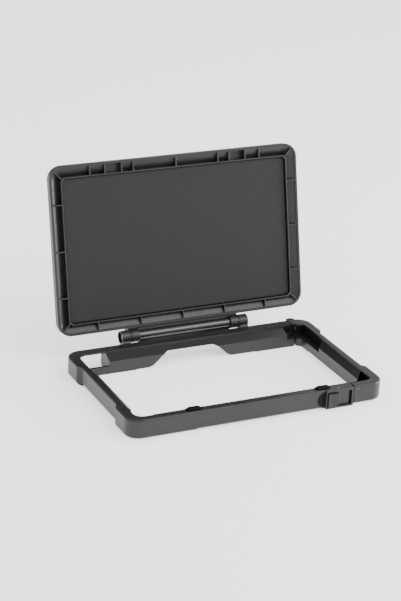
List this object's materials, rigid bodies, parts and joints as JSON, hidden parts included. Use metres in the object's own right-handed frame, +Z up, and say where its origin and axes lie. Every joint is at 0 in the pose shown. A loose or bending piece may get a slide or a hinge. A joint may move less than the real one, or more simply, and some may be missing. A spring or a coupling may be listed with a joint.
{
  "type": "teleprompter display frame with hinged cover",
  "caption": "Low rectangular frame for a small display, with a hinged padded cover held by a rod hinge, a swing-out end gate and a sliding latch.",
  "frame": {"origin": "centre of the frame's plain rectangle on its bottom plane, cover open", "axes": "+X along the hinge towards the gate, +Y from the latch side to the hinge side, +Z up"},
  "size_m": [0.21, 0.1774, 0.152],
  "materials": {
    "moulded_body": "satin",
    "black_plastic": "satin",
    "core_board": "matt",
    "pad_fabric": "fine weave",
    "rod_metal": "gloss",
    "dark_steel": "blackened",
    "spring_steel": "bright",
    "bush_plastic": "satin"
  },
  "bodies": {
    "frame": {"main_frame": "moulded_body", "hinge_ear_left": "moulded_body", "hinge_ear_right": "moulded_body", "ear_screws": "dark_steel", "hinge_rod": "rod_metal", "rod_clips": "dark_steel", "gate_pin": "dark_steel", "latch_housing": "moulded_body", "housing_screws": "dark_steel", "stop_pin": "spring_steel", "detent_spring": "spring_steel", "snap_catches": "black_plastic"},
    "lid": {"lid_shell": "moulded_body", "lid_core": "core_board", "lid_pad": "pad_fabric", "hinge_bracket": "moulded_body", "bracket_screws": "dark_steel", "knuckle_sleeves": "bush_plastic"},
    "gate": {"gate_arm": "moulded_body", "gate_bushes": "bush_plastic", "gate_keeper": "black_plastic", "keeper_screws": "dark_steel"},
    "latch_slide": {"slide_button": "moulded_body", "latch_bolt": "dark_steel", "bolt_screw": "dark_steel"}
  },
  "joints": [
    {"name": "lid_hinge", "type": "hinge", "parent": "frame", "child": "lid", "pos_m": [0, 0.0728, 0.0167], "axis": [1, 0, 0], "range_deg": [-77.76, 102.24]},
    {"name": "gate_hinge", "type": "hinge", "parent": "frame", "child": "gate", "pos_m": [0.0906, 0.064, 0], "axis": [0, 0, 1], "range_deg": [0, 90]},
    {"name": "latch_slide", "type": "slide", "parent": "frame", "child": "latch_slide", "axis": [1, 0, 0], "range_m": [0, 0.0014]}
  ]
}
